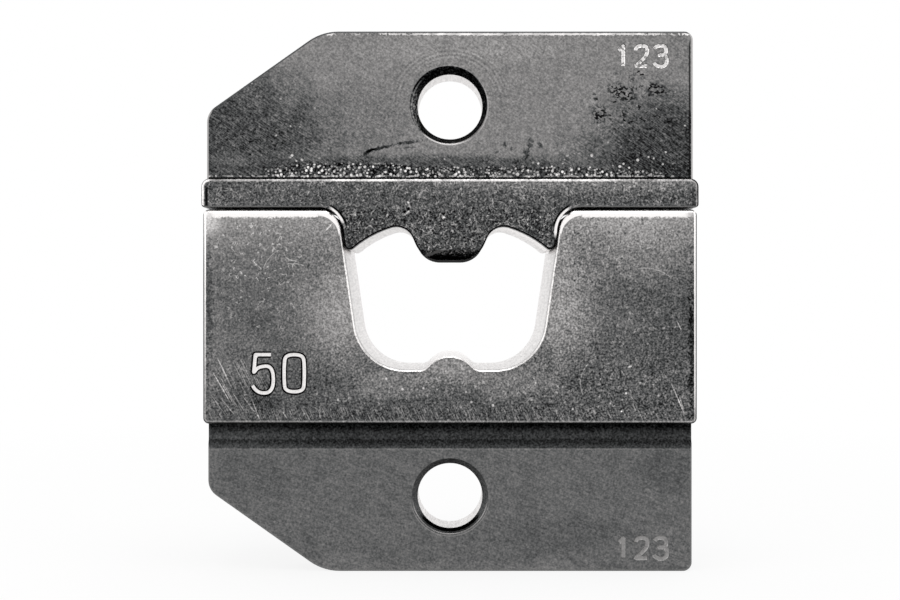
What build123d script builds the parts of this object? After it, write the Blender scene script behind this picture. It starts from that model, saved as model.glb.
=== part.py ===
from build123d import *
from math import cos, radians, tan
import os

# Crimp die insert for a hand crimping tool: a nest die below and an anvil die above, shown closed.
# Sizes are in millimetres. X runs across the dies, Y from the front to the back, and Z is the closing
# direction. The origin is the centre of the lower die's screw hole, halfway through the tang.

# Width of the nest die, and how far the anvil die stands out past it on each side
DIE_WIDTH = 38.7
UPPER_SIDE_STEP = 0.1

# Screw tangs, alike on both dies
TANG_HEIGHT = 12.0
TANG_THICKNESS = 4.0
TANG_CORNER_RADIUS = 0.7
TANG_EDGE_CHAMFER = 0.15
CORNER_CUT_WIDTH = 9.2
CORNER_CUT_HEIGHT = 6.5
CORNER_CUT_END_RADIUS = 4.2
CORNER_CUT_SIDE_RADIUS = 1.5
HOLE_DIAMETER = 5.2
HOLE_FROM_END = 6.0
HOLE_CHAMFER = 0.45

# Relief along the root of the lower tang, on the front only
RELIEF_HEIGHT = 2.15
RELIEF_SLOPE_HEIGHT = 0.7
RELIEF_DEPTH = 0.3

# Nest block of the lower die
FRONT_OVERHANG = 2.3
BLOCK_HEIGHT = 16.8
BLOCK_DEPTH = 12.0
BLOCK_CORNER_RADIUS = 0.45
BLOCK_EDGE_RADIUS = 0.4

# Nest, open at the top of the block
NEST_DEPTH = 12.6
NEST_MOUTH_WIDTH = 17.6
NEST_DRAFT = 8.25
NEST_CORNER_RADIUS = 4.0
MOUTH_RADIUS = 1.8
NEST_EDGE_BREAK = 0.1
BUMP_HEIGHT = 1.1
BUMP_RADIUS = 2.3
BUMP_BLEND_RADIUS = 0.9

# Shoulder bar of the upper die
CLOSED_GAP = 0.15
SHOULDER_THICKNESS = 2.25
SHOULDER_TOP_RADIUS = 0.65
SHOULDER_LOWER_RADIUS = 0.25
REAR_OVERHANG = 2.3
SHOULDER_EDGE_RADIUS = 0.15

# Anvil, which enters the nest
ANVIL_CLEARANCE = 0.15
HORN_TIP_RADIUS = 0.4
ROOF_DEPTH = 1.2
ROOF_RADIUS = 8.5
ROOF_CENTRE_OFFSET = 2.1
LOBE_RADIUS = 1.4
TOOTH_LENGTH = 4.1
TOOTH_WIDTH = 4.3
TOOTH_FLANK = 24.0
TOOTH_CORNER_RADIUS = 2.0
TOOTH_BEVEL = 0.75

# Heights and depths that follow from the sizes above
upper_width = DIE_WIDTH + 2 * UPPER_SIDE_STEP
block_bottom = TANG_HEIGHT - HOLE_FROM_END
block_top = block_bottom + BLOCK_HEIGHT
nest_floor = block_top - NEST_DEPTH
shoulder_bottom = block_top + CLOSED_GAP
shoulder_top = shoulder_bottom + SHOULDER_THICKNESS
tooth_end = shoulder_bottom - TOOTH_LENGTH
front_face = -TANG_THICKNESS / 2 - FRONT_OVERHANG
upper_depth = FRONT_OVERHANG + TANG_THICKNESS + REAR_OVERHANG


def slab(outline, front, depth):
    """Solid of an outline drawn in X and Z, from the plane y = front and depth thick towards the back."""
    drawing_plane = Plane(origin=(0, front, 0), x_dir=(1, 0, 0), z_dir=(0, -1, 0))
    return extrude(drawing_plane * outline, amount=-depth)


def bar(section, width):
    """Solid of a section drawn in Y and Z, centred on x = 0 and width long."""
    return extrude(Plane.YZ * section, amount=width / 2, both=True)


def front_and_back_edges(solid):
    """Edges of a slab's front and back faces."""
    faces = solid.faces().sort_by(Axis.Y)
    return faces[0].edges() + faces[-1].edges()


def corners(outline, inner, outer, low, high):
    """Corners of an outline from inner to outer off the middle, and from the height low to high."""
    slack = 1e-4
    return [
        corner
        for corner in outline.vertices()
        if inner - slack < abs(corner.X) < outer + slack and low - slack < corner.Y < high + slack
    ]


def nest_half_width(height):
    """Distance from the middle to the nest's straight wall at a height."""
    return NEST_MOUTH_WIDTH / 2 - (block_top - height) * tan(radians(NEST_DRAFT))


def tang(width, root):
    """Tang that stands up from z = 0, with its root sunk into the die's body."""
    half = width / 2
    outline = FilletPolyline(
        (-half, -root),
        (half, -root),
        (half, TANG_HEIGHT),
        (CORNER_CUT_WIDTH - half, TANG_HEIGHT),
        (-half, TANG_HEIGHT - CORNER_CUT_HEIGHT),
        radius=[0, 0, TANG_CORNER_RADIUS, CORNER_CUT_END_RADIUS, CORNER_CUT_SIDE_RADIUS],
        close=True,
    )
    plate = slab(make_face(outline), -TANG_THICKNESS / 2, TANG_THICKNESS)
    plate = chamfer(front_and_back_edges(plate), TANG_EDGE_CHAMFER)
    hole = Pos(0, 0, TANG_HEIGHT - HOLE_FROM_END) * Rot(X=90) * Cylinder(HOLE_DIAMETER / 2, TANG_THICKNESS)
    plate -= hole
    rims = [
        edge
        for edge in plate.edges().filter_by(GeomType.CIRCLE)
        if edge.is_closed and abs(edge.radius - HOLE_DIAMETER / 2) < 1e-4
    ]
    return chamfer(rims, HOLE_CHAMFER)


def nest_outline():
    """Section of the nest: a tapered trough with rounded lower corners and a low bump on its floor."""
    above = block_top + MOUTH_RADIUS
    trough = FilletPolyline(
        (-nest_half_width(above), above),
        (-nest_half_width(nest_floor), nest_floor),
        (nest_half_width(nest_floor), nest_floor),
        (nest_half_width(above), above),
        radius=[0, NEST_CORNER_RADIUS, NEST_CORNER_RADIUS, 0],
        close=True,
    )
    bump = Pos(0, nest_floor + BUMP_HEIGHT - BUMP_RADIUS) * Circle(BUMP_RADIUS)
    outline = make_face(trough) - bump
    return fillet(corners(outline, 0, BUMP_RADIUS, nest_floor, nest_floor), BUMP_BLEND_RADIUS)


def nest_block():
    """Block with rounded edges, and the nest cut through it from front to back."""
    middle = (block_bottom + block_top) / 2
    section = Pos(0, middle) * RectangleRounded(DIE_WIDTH, BLOCK_HEIGHT, BLOCK_CORNER_RADIUS)
    block = slab(section, front_face, BLOCK_DEPTH)
    block = fillet(front_and_back_edges(block), BLOCK_EDGE_RADIUS)

    opened = section - nest_outline()
    mouth = corners(opened, 0, NEST_MOUTH_WIDTH / 2, block_top, block_top)
    window_width = NEST_MOUTH_WIDTH + 2 * MOUTH_RADIUS
    window_height = NEST_DEPTH + 2 * MOUTH_RADIUS
    window = Pos(0, block_top + MOUTH_RADIUS - window_height / 2) * Rectangle(window_width, window_height)
    cut = window - fillet(mouth, MOUTH_RADIUS)
    start = Plane(origin=(0, front_face + NEST_EDGE_BREAK, 0), x_dir=(1, 0, 0), z_dir=(0, -1, 0))
    front_break = extrude(start * cut, amount=2 * NEST_EDGE_BREAK, taper=-45)
    back_break = mirror(front_break, about=Plane.XZ.offset(-front_face - BLOCK_DEPTH / 2))
    return block - slab(cut, front_face, BLOCK_DEPTH) - front_break - back_break


def root_relief():
    """Shallow groove with a sloped lower side, along the root of the lower tang's front face."""
    outside = TANG_THICKNESS / 2 + RELIEF_DEPTH
    surface = TANG_THICKNESS / 2
    bottom = surface - RELIEF_DEPTH
    groove = Polygon(
        (-outside, block_bottom),
        (-bottom, block_bottom),
        (-bottom, block_bottom - RELIEF_HEIGHT + RELIEF_SLOPE_HEIGHT),
        (-surface, block_bottom - RELIEF_HEIGHT),
        (-outside, block_bottom - RELIEF_HEIGHT),
        align=None,
    )
    return bar(groove, DIE_WIDTH + RELIEF_HEIGHT)


def anvil_outline():
    """Section of the shoulder bar and anvil: flanks along the nest's walls, two lobes and a middle tooth."""
    play = ANVIL_CLEARANCE / cos(radians(NEST_DRAFT))
    roof_centre = shoulder_bottom - ROOF_DEPTH - ROOF_RADIUS
    wide = nest_half_width(shoulder_bottom) - play
    narrow = nest_half_width(roof_centre) - play
    body = Polygon(
        (-wide, shoulder_bottom),
        (-narrow, roof_centre),
        (narrow, roof_centre),
        (wide, shoulder_bottom),
        align=None,
    )
    for side in (-1, 1):
        body -= Pos(side * ROOF_CENTRE_OFFSET, roof_centre) * Circle(ROOF_RADIUS)
    tooth_root = TOOTH_WIDTH / 2 + TOOTH_LENGTH * tan(radians(TOOTH_FLANK))
    tooth = Polygon(
        (-tooth_root, shoulder_bottom),
        (-TOOTH_WIDTH / 2, tooth_end),
        (TOOTH_WIDTH / 2, tooth_end),
        (tooth_root, shoulder_bottom),
        align=None,
    )
    shoulder = Pos(0, (shoulder_bottom + shoulder_top) / 2) * Rectangle(upper_width, SHOULDER_THICKNESS)
    outline = shoulder + body + tooth

    between = (tooth_root + narrow) / 2
    half = upper_width / 2
    outline = fillet(corners(outline, 0, tooth_root, tooth_end, tooth_end), TOOTH_CORNER_RADIUS)
    under = shoulder_bottom - ROOF_DEPTH / 2
    lobe_low = tooth_end + TOOTH_CORNER_RADIUS
    outline = fillet(corners(outline, 0, between, lobe_low, under), LOBE_RADIUS)
    outline = fillet(corners(outline, between, wide, roof_centre, under), HORN_TIP_RADIUS)
    outline = fillet(corners(outline, between, wide, shoulder_bottom, shoulder_bottom), MOUTH_RADIUS)
    outline = fillet(corners(outline, half, half, shoulder_bottom, shoulder_bottom), SHOULDER_LOWER_RADIUS)
    return fillet(corners(outline, half, half, shoulder_top, shoulder_top), SHOULDER_TOP_RADIUS)


def tooth_bevels():
    """Wedges that bevel the tooth's end at the front and at the back."""
    slope = Polygon(
        (front_face - TOOTH_BEVEL, tooth_end + 2 * TOOTH_BEVEL),
        (front_face + 2 * TOOTH_BEVEL, tooth_end - TOOTH_BEVEL),
        (front_face - TOOTH_BEVEL, tooth_end - TOOTH_BEVEL),
        align=None,
    )
    front_bevel = bar(slope, nest_half_width(tooth_end))
    middle_depth = Plane.XZ.offset(-front_face - upper_depth / 2)
    return front_bevel + mirror(front_bevel, about=middle_depth)


def lower_die():
    """Nest die: the block above its tang, which hangs down."""
    hanging_tang = mirror(tang(DIE_WIDTH, 2 * BLOCK_CORNER_RADIUS), about=Plane.XY)
    return nest_block() + Pos(0, 0, block_bottom) * hanging_tang - root_relief()


def upper_die():
    """Anvil die: the shoulder bar and anvil below its tang."""
    body = slab(anvil_outline(), front_face, upper_depth)
    body = fillet(front_and_back_edges(body), SHOULDER_EDGE_RADIUS)
    standing_tang = Pos(0, 0, shoulder_top) * tang(upper_width, 2 * SHOULDER_TOP_RADIUS)
    return body - tooth_bevels() + standing_tang


os.makedirs("parts", exist_ok=True)
export_step(lower_die(), "parts/lower_die.step")
export_step(upper_die(), "parts/upper_die.step")
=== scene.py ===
"""Crimp die insert of blackened steel: an anvil die closed on a nest die, standing on a white ground.

Lengths are in millimetres up to the point where a piece is finished, and in metres from there on.
X runs across the dies, Y from the front to the back, and Z is the closing direction.
"""

import logging
import math
from dataclasses import dataclass, replace
from enum import Enum
from typing import Any, Optional, Sequence, Union

import bmesh
import bpy
from mathutils import Matrix, Vector

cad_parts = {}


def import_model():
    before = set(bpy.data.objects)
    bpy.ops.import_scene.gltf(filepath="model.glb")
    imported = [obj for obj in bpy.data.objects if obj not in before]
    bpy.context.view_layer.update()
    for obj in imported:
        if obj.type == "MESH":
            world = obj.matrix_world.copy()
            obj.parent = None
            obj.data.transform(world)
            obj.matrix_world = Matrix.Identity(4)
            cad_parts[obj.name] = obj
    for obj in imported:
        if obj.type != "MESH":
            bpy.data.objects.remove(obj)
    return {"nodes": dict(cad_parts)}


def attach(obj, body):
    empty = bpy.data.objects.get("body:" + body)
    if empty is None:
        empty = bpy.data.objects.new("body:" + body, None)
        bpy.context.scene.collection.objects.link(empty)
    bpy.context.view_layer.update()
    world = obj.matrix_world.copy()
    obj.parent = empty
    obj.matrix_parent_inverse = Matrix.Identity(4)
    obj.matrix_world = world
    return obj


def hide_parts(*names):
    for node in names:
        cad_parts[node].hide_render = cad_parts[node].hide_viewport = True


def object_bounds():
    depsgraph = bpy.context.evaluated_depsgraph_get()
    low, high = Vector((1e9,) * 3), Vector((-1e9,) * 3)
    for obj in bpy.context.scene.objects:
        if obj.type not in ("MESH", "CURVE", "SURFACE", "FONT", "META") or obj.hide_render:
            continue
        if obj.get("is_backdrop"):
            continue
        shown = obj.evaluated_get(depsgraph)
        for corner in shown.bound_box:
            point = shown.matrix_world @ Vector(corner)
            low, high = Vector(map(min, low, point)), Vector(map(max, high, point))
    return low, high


LOG = logging.getLogger("crimp_die")
METRE = 1000.0
MERGE_DISTANCE = 1e-4
Number = Union[float, "Value"]
Point = tuple[float, float]
Colour = tuple[float, float, float, float]
WHITE: Colour = (1, 1, 1, 1)


class Half(Enum):
    """The two halves of the insert, by the names of their CAD nodes, which are also their bodies' names."""

    NEST = "lower_die"
    ANVIL = "upper_die"


class Slot(Enum):
    """The record's finishes."""

    NEST = "nest_steel"
    ANVIL = "anvil_steel"


class Digit(Enum):
    """Centre lines of plain digits in a cell 1 wide and 1 tall. A doubled point makes a corner.

    The zero is closed.
    """

    ZERO = ((0.06, 0), (0.94, 0), (1, 0.28), (1, 0.72), (0.94, 1), (0.06, 1), (0, 0.72), (0, 0.28))
    ONE = ((0.2, 0.76), (0.56, 1), (0.56, 1), (0.56, 0))
    TWO = ((0.04, 0.78), (0.08, 1), (0.96, 1.02), (1, 0.64), (0.7, 0.36), (0.04, 0), (0.04, 0), (1, 0))
    THREE = (
        *((0.04, 0.86), (0.2, 1.02), (0.96, 1.02), (1, 0.56), (0.4, 0.54), (0.4, 0.54)),
        *((1.04, 0.54), (1.04, -0.02), (0.2, -0.04), (0, 0.16)),
    )
    FIVE = (
        *((0.92, 1), (0.14, 1), (0.14, 1), (0.06, 0.52), (0.06, 0.52), (0.3, 0.68)),
        *((1.02, 0.7), (1.04, -0.02), (0.2, -0.05), (0, 0.17)),
    )


def new_object(name: str, data: bpy.types.ID) -> bpy.types.Object:
    """Make an object and link it to the scene.

    Args:
        name: The object's name.
        data: Its mesh, curve, lamp or camera.

    Returns:
        The object.
    """
    made = bpy.data.objects.new(name, data)
    bpy.context.scene.collection.objects.link(made)
    return made


class Value:
    """A number, colour or vector on a node sheet. Python's arithmetic on numbers adds Math nodes."""

    def __init__(self, sheet: "NodeSheet", output: bpy.types.NodeSocket) -> None:
        """Wrap an output.

        Args:
            sheet: The node sheet that the output is on.
            output: The output socket.
        """
        self.sheet = sheet
        self.output = output

    def maths(self, operation: str, *operands: Number) -> "Value":
        """Feed numbers to a Math node.

        Args:
            operation: The Math node's operation.
            operands: Its inputs in order, or none for this number alone.

        Returns:
            The result.
        """
        inputs = dict(enumerate(operands or (self,)))
        return self.sheet.value("ShaderNodeMath", {"operation": operation}, inputs)

    def __add__(self, other: Number) -> "Value":
        """Return the sum."""
        return self.maths("ADD", self, other)

    def __radd__(self, other: float) -> "Value":
        """Return the sum with a plain number in front."""
        return self.maths("ADD", other, self)

    def __sub__(self, other: Number) -> "Value":
        """Return the difference."""
        return self.maths("SUBTRACT", self, other)

    def __rsub__(self, other: float) -> "Value":
        """Return the difference with a plain number in front."""
        return self.maths("SUBTRACT", other, self)

    def __mul__(self, other: Number) -> "Value":
        """Return the product."""
        return self.maths("MULTIPLY", self, other)

    def __rmul__(self, other: float) -> "Value":
        """Return the product with a plain number in front."""
        return self.maths("MULTIPLY", other, self)

    def __pow__(self, other: float) -> "Value":
        """Return the power."""
        return self.maths("POWER", self, other)

    def __abs__(self) -> "Value":
        """Return the size without its sign."""
        return self.maths("ABSOLUTE", self)

    def __or__(self, other: Number) -> "Value":
        """Return the larger of the two, which joins two masks."""
        return self.maths("MAXIMUM", self, other)

    def rise(self, low: float, high: float) -> "Value":
        """Make a mask.

        Args:
            low: Where the mask is 0.
            high: Where the mask is 1. With high below low, the mask falls.

        Returns:
            A smooth mask from 0 to 1.
        """
        settings = {"interpolation_type": "SMOOTHSTEP"}
        inputs = {"Value": self, "From Min": low, "From Max": high}
        return self.sheet.value("ShaderNodeMapRange", settings, inputs)

    def band(self, low: float, high: float, soft: float) -> "Value":
        """Return a mask that is 1 from low to high and fades over soft outside them."""
        return self.rise(low - soft, low) * self.rise(high + soft, high)

    def toward(self, other: Number, share: Number) -> "Value":
        """Return this number moved towards another by a share from 0 to 1."""
        return self.sheet.value("ShaderNodeMix", {"data_type": "FLOAT"}, {0: share, 2: self, 3: other})


class NodeSheet:
    """The nodes of a material or of the world."""

    def __init__(self, owner: Union[bpy.types.Material, bpy.types.World]) -> None:
        """Clear the owner's nodes and start anew.

        Args:
            owner: The material or world.
        """
        owner.use_nodes = True
        self.tree = owner.node_tree
        self.tree.nodes.clear()

    def node(self, kind: str, settings: dict[str, Any], inputs: dict[Any, Any]) -> bpy.types.Node:
        """Add any node.

        Args:
            kind: The node's type.
            settings: Its properties, which are set first.
            inputs: Plain values or links for its sockets, by name or number.

        Returns:
            The node.
        """
        made = self.tree.nodes.new(kind)
        for name, setting in settings.items():
            setattr(made, name, setting)
        for name, given in inputs.items():
            if isinstance(given, Value):
                self.tree.links.new(given.output, made.inputs[name])
            else:
                made.inputs[name].default_value = given
        return made

    def value(
        self, kind: str, settings: dict[str, Any], inputs: dict[Any, Any], output: Union[int, str] = 0
    ) -> Value:
        """Add any node and wrap one of its outputs.

        Args:
            kind: The node's type.
            settings: Its properties, which are set first.
            inputs: Plain values or links for its sockets, by name or number.
            output: The output to wrap, by name or number.

        Returns:
            The wrapped output.
        """
        return Value(self, self.node(kind, settings, inputs).outputs[output])

    def vector(self, operation: str, *operands: Any) -> Value:
        """Feed vectors to a Vector Math node.

        Args:
            operation: The node's operation.
            operands: Its inputs in order.

        Returns:
            The result, which is a number for a length.
        """
        output = "Value" if operation == "LENGTH" else "Vector"
        inputs = dict(enumerate(operands))
        return self.value("ShaderNodeVectorMath", {"operation": operation}, inputs, output)

    def parts(self, vector: Value) -> list[Value]:
        """Return a vector's three parts."""
        split = self.node("ShaderNodeSeparateXYZ", {}, {"Vector": vector})
        return [Value(self, output) for output in split.outputs]

    def blend(self, first: Any, second: Any, share: Number) -> Value:
        """Return a colour between two others, by a share from 0 to 1."""
        inputs = {0: share, 6: first, 7: second}
        return self.value("ShaderNodeMix", {"data_type": "RGBA"}, inputs, 2)


@dataclass(frozen=True)
class Grain:
    """Cloudy texture.

    Attributes:
        fineness: Clouds in a millimetre.
        detail: Layers of finer clouds in it.
        swirl: How far the clouds are drawn out of shape.
        shift: Moves the pattern, so that two grains differ.
        drawn_out: How many times longer the clouds are across, in depth and up.
    """

    fineness: float
    detail: float = 2.0
    swirl: float = 0.0
    shift: float = 0.0
    drawn_out: tuple[float, float, float] = (1, 1, 1)

    def over(self, steel: "Steel") -> Value:
        """Spread the texture.

        Args:
            steel: The steel under way.

        Returns:
            A number about 0 that seldom leaves -0.3 to 0.3.
        """
        place = steel.place
        if max(self.drawn_out) > 1:
            place = steel.vector("DIVIDE", place, self.drawn_out)
        moved = steel.vector("ADD", place, (self.shift, self.shift * 0.7, -self.shift))
        inputs = {"Vector": moved, "Scale": self.fineness, "Detail": self.detail, "Distortion": self.swirl}
        return steel.value("ShaderNodeTexNoise", {}, inputs) - 0.5


@dataclass(frozen=True)
class Scratches:
    """Straight scratches that run one way over the front.

    Attributes:
        lean: Their direction, in degrees down at the right-hand end.
        length: Their usual length.
        width: Their usual width.
        share: How much of the surface they may fill, from 0 to 1.
        shift: Moves the pattern.
    """

    lean: float
    length: float
    width: float
    share: float
    shift: float = 0.0

    def over(self, steel: "Steel") -> Value:
        """Spread the scratches.

        Args:
            steel: The steel under way.

        Returns:
            A mask from 0 to 1.
        """
        inputs = {
            "Vector": steel.place,
            "Location": (self.shift, 0, self.shift),
            "Rotation": (0, math.radians(self.lean), 0),
            "Scale": (self.length, self.length, self.width),
        }
        along = steel.value("ShaderNodeMapping", {"vector_type": "TEXTURE"}, inputs)
        line = steel.value("ShaderNodeTexNoise", {}, {"Vector": along, "Scale": 1.0, "Detail": 1.0})
        start = 0.72 - 0.22 * self.share
        return line.rise(start, start + 0.06)


@dataclass(frozen=True)
class Scribbles:
    """Fine bent scuffs that run every way.

    Attributes:
        fineness: Bends in a millimetre.
        width: Their width as a share of a bend.
        shift: Moves the pattern.
        rarity: How rare they are, from 0 for half of their length to 0.2 for little of it.
    """

    fineness: float
    width: float
    shift: float = 0.0
    rarity: float = -0.02

    def over(self, steel: "Steel") -> Value:
        """Spread the scuffs.

        Args:
            steel: The steel under way.

        Returns:
            A mask from 0 to 1.
        """
        line = abs(Grain(self.fineness, 1.0, 0.4, self.shift).over(steel)).rise(self.width, 0)
        breaks = Grain(self.fineness * 1.3, 0.0, 0.0, self.shift + 5).over(steel)
        return line * breaks.rise(self.rarity, self.rarity + 0.1)


@dataclass(frozen=True)
class Spots:
    """Small spots strewn at random.

    Attributes:
        fineness: Spots in a millimetre, if they lay side by side.
        rarity: How rare they are, from 0 for half of the surface to 0.3 for almost none.
        shift: Moves the pattern.
        long: How much longer than tall they are.
    """

    fineness: float
    rarity: float
    shift: float = 0.0
    long: float = 1.0

    def over(self, steel: "Steel") -> Value:
        """Strew the spots.

        Args:
            steel: The steel under way.

        Returns:
            A mask from 0 to 1.
        """
        texture = Grain(self.fineness, 1.5, 0.5, self.shift, (self.long, 1, 1)).over(steel)
        return texture.rise(self.rarity, self.rarity + 0.05)


@dataclass(frozen=True)
class Granules:
    """Small round grains that lie apart from each other.

    Attributes:
        fineness: Grains in a millimetre, if they lay side by side.
        size: Their usual radius as a share of their spacing.
        share: How many of them there are, from 0 to 1.
        shift: Moves the pattern.
    """

    fineness: float
    size: float
    share: float
    shift: float = 0.0

    def over(self, steel: "Steel") -> Value:
        """Strew the grains.

        Args:
            steel: The steel under way.

        Returns:
            A mask from 0 to 1.
        """
        moved = steel.vector("ADD", steel.place, (self.shift, 0, self.shift))
        cells = steel.node("ShaderNodeTexVoronoi", {}, {"Vector": moved, "Scale": self.fineness})
        distance = Value(steel, cells.outputs["Distance"])
        chance, _, size = steel.parts(Value(steel, cells.outputs["Color"]))
        reach = distance - size * self.size * 0.5
        kept = chance.rise(self.share, self.share - 0.02)
        return reach.rise(self.size + 0.06, self.size - 0.06) * kept


@dataclass(frozen=True)
class Patch:
    """A soft oval on the front, where the tone differs.

    Attributes:
        x: Middle, across.
        z: Middle, up.
        wide: Half its width.
        tall: Half its height.
        change: Change of tone in its middle.
        core: Share of the way out at which it starts to fade.
        lean: Turn in degrees, down at the right-hand end.
        ragged: How far the clouds eat into its edge.
    """

    x: float
    z: float
    wide: float
    tall: float
    change: float
    core: float = 0.2
    lean: float = 0.0
    ragged: float = 0.5

    def over(self, steel: "Steel", fraying: Value) -> Value:
        """Lay the patch. Plain numbers keep the material within the renderer's stack.

        Args:
            steel: The steel under way.
            fraying: The texture that frays its edge.

        Returns:
            The change of tone.
        """
        turn = math.radians(self.lean)
        cosine, sine = math.cos(turn), math.sin(turn)
        along = steel.slanted(cosine / self.wide, -sine / self.wide, self.x, self.z)
        athwart = steel.slanted(sine / self.tall, cosine / self.tall, self.x, self.z)
        distance = athwart.maths("MULTIPLY_ADD", athwart, athwart, along * along).maths("SQRT")
        if self.ragged:
            distance = fraying.maths("MULTIPLY_ADD", fraying, self.ragged, distance)
        return distance.rise(1.0, self.core) * self.change


@dataclass(frozen=True)
class Line(Patch):
    """A single straight scratch or nick: a thin patch with a clean edge."""

    core: float = 0.5
    ragged: float = 0.0


@dataclass(frozen=True)
class Arc:
    """A single bent hairline scratch: the part of a circle that lies in a window.

    Attributes:
        x: The circle's middle, across.
        z: The circle's middle, up.
        radius: The circle's radius.
        left: The window's left edge from the middle.
        right: Its right edge from the middle.
        low: Its lower edge from the middle.
        high: Its upper edge from the middle.
        width: The scratch's width.
    """

    x: float
    z: float
    radius: float
    left: float
    right: float
    low: float
    high: float
    width: float = 0.05

    def over(self, steel: "Steel") -> Value:
        """Draw the scratch.

        Args:
            steel: The steel under way.

        Returns:
            A mask from 0 to 1.
        """
        from_middle = steel.vector("SUBTRACT", steel.place, (self.x, 0, self.z))
        across, _, up = steel.parts(from_middle)
        distance = steel.span(from_middle)
        line = abs(distance - self.radius).rise(self.width, self.width * 0.4)
        return line * across.band(self.left, self.right, 0.3) * up.band(self.low, self.high, 0.2)


class Steel(NodeSheet):
    """Blackened tool steel under way: where each place is, how it faces, its grain and its tone.

    Tones are those of a print, from 0 for black to 1 for white, until they become a base colour.
    A finish sets its tone first, and then paints on it. The sizes here are those of both halves.
    """

    print_power: float = 2.2
    cool: Colour = (0.97, 1.0, 1.015, 1.0)
    warm: Colour = (1.02, 0.995, 0.985, 1.0)
    darkest: float = 0.02
    lightest: float = 0.99
    cloudiness: float = 0.08
    wall_tone: float = 0.91
    polish_streaks: float = 0.25
    usual_roughness: float = 0.4
    roughness_spread: float = 0.3
    fleck_height: float = 0.006
    mark_depth: float = 0.004
    mouth_radius: float = 1.8
    mouth_centre: Point = (10.36, 21.0)
    hole: Point = (0.0, 0.0)
    bore: float = 2.6
    hole_rim: float = 3.05
    tone: Value

    def __init__(self, name: str) -> None:
        """Start the material.

        Args:
            name: The material's name.
        """
        self.material = bpy.data.materials.new(name)
        super().__init__(self.material)
        where = self.node("ShaderNodeTexCoord", {}, {})
        in_metres = Value(self, where.outputs["Object"])
        self.place = self.vector("MULTIPLY", in_metres, (METRE, METRE, METRE))
        self.x, self.y, self.z = self.parts(self.place)
        _, backward, self.upward = self.parts(Value(self, where.outputs["Normal"]))
        self.facing = abs(backward)
        self.front = backward.rise(-0.4, -0.8)
        self.flat = self.facing.rise(0.93, 0.99)
        self.side_on = self.facing.rise(0.3, 0.1)
        self.clouds = Grain(0.55, 3.0, 0.3).over(self)
        self.flecks = Grain(3.0, 3.0, 1.4, 3.0).over(self)
        self.dust = Grain(6.6, 2.0, 0.0, 9.0).over(self)
        self.grit = self.flecks * 0.75 + self.dust * 1.35
        self.streaks = Grain(6.0, 1.0, 0.0, 17.0, (1, 12, 1)).over(self)
        self.from_hole = self.away_from(*self.hole)

    def paint(self, tone: Number, mask: Value) -> None:
        """Bring the tone to another one under a mask."""
        self.tone = self.tone.toward(tone, mask)

    def laid(self, patches: Sequence[Patch], fraying: Optional[Value] = None) -> Value:
        """Add up patches.

        Args:
            patches: The patches.
            fraying: The texture that frays their edges, or None for the clouds.

        Returns:
            The change of tone, which is 0 off the front.
        """
        total = self.clouds * 0.0
        for patch in patches:
            total += patch.over(self, fraying or self.clouds)
        return total * self.front

    def slanted(self, across: float, up: float, x: float, z: float) -> Value:
        """Return the distance from a place on the front, across * (X - x) + up * (Z - z)."""
        rest = self.z.maths("MULTIPLY_ADD", self.z, up, -across * x - up * z)
        return self.x.maths("MULTIPLY_ADD", self.x, across, rest)

    def rim(self, low: float = 0.3, high: float = 0.94) -> Value:
        """Find the rounded and bevelled edges round the front and back faces.

        Args:
            low: How squarely they face the front or back at least.
            high: How squarely they face it at most.

        Returns:
            A mask from 0 to 1.
        """
        return self.facing.band(low, high, 0.05)

    def away_from(self, x: float, z: float, paired: bool = False) -> Value:
        """Measure from a line that runs from front to back.

        Args:
            x: The line's place across.
            z: The line's height.
            paired: Whether there is such a line on both sides.

        Returns:
            The distance from the nearer line.
        """
        place = self.vector("ABSOLUTE", self.place) if paired else self.place
        offset = self.vector("SUBTRACT", place, (x, 0, z))
        return self.span(offset)

    def span(self, offset: Value) -> Value:
        """Return the length of an offset across and up, whatever its depth."""
        return self.vector("LENGTH", self.vector("MULTIPLY", offset, (1, 0, 1)))

    def within(self, half_width: float, soft: float = 0.1) -> Value:
        """Return a mask that is 1 up to this far from the middle, and fades just beyond."""
        return abs(self.x).rise(half_width + soft, half_width)

    def bore_wall(self) -> Value:
        """Return a mask of the screw hole's wall."""
        return self.from_hole.rise(self.bore + 0.02, self.bore + 0.01)

    def chamfer(self) -> Value:
        """Return a mask of the screw hole's chamfer."""
        return self.from_hole.band(self.bore + 0.02, self.hole_rim, 0.01) * self.rim()

    def polished(self) -> Value:
        """Return the tone of a ground wall, with its fine streaks from front to back."""
        return self.wall_tone + self.streaks * self.polish_streaks

    def rough(self) -> Value:
        """Return the roughness of the steel."""
        return self.usual_roughness + self.flecks * self.roughness_spread

    def height(self, marks: Value) -> Value:
        """Return the height of the texture, with its marks cut in."""
        return self.flecks * self.fleck_height - marks * self.mark_depth

    def finish(self, roughness: Value, height: Value) -> bpy.types.Material:
        """Turn the tone into steel.

        Args:
            roughness: The roughness all over.
            height: The height of the texture, in millimetres.

        Returns:
            The material.
        """
        held = self.tone.maths("MINIMUM", self.tone | self.darkest, self.lightest)
        tint = self.blend(self.cool, self.warm, held.rise(0.25, 0.55))
        settings = {"operation": "SCALE"}
        colour = self.value("ShaderNodeVectorMath", settings, {0: tint, "Scale": held**self.print_power})
        normal = self.value("ShaderNodeBump", {}, {"Height": height, "Distance": 1 / METRE})
        inputs = {"Base Color": colour, "Metallic": 1.0, "Roughness": roughness, "Normal": normal}
        shader = self.value("ShaderNodeBsdfPrincipled", {}, inputs)
        self.node("ShaderNodeOutputMaterial", {}, {"Surface": shader})
        return self.material


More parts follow.
